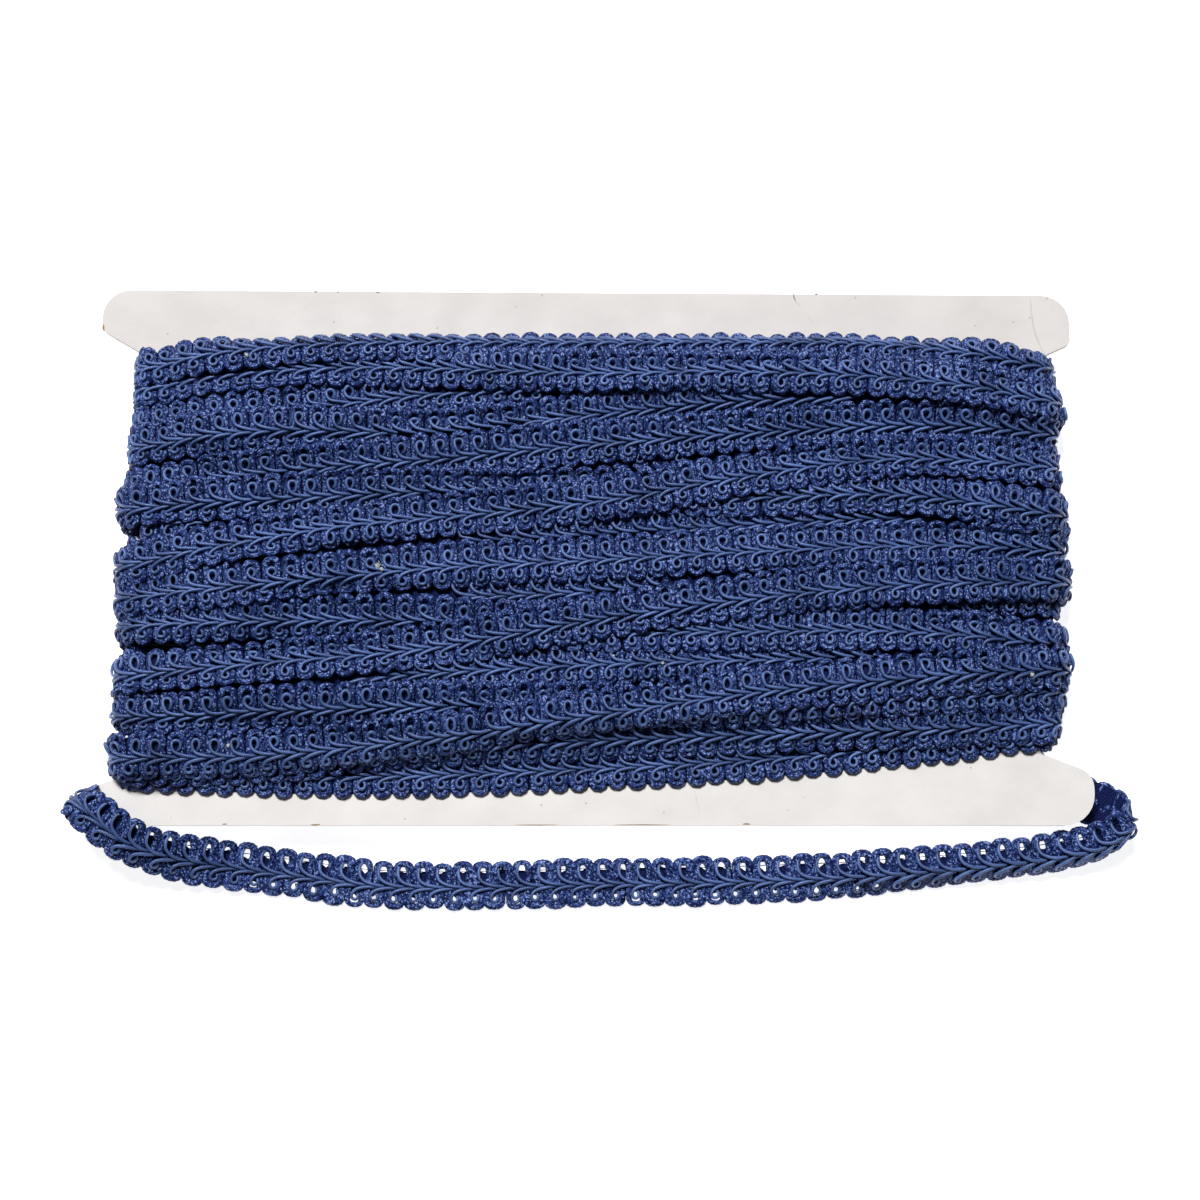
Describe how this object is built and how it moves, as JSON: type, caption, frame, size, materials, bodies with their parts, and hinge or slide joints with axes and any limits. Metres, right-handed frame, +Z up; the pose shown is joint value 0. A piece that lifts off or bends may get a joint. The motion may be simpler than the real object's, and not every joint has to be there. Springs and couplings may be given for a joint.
{
  "type": "roll of gimp trim on a card",
  "caption": "Flat notched card wound lengthwise with scalloped braid trim, its last turn hanging loose below the card.",
  "frame": {"origin": "middle of the wound trim's flat underside, below the card's centre", "axes": "+X along the card and the trim's run, +Y across the card away from the loose turn, +Z up out of the card's face"},
  "size_m": [0.2637, 0.1531, 0.0172],
  "materials": {
    "card": "matt white-lined board, lightly soiled",
    "trim": "woven gimp braid, slight sheen on its cords"
  },
  "bodies": {
    "root": {"card": "card", "winding": "trim", "loose_turn": "trim"}
  },
  "joints": []
}
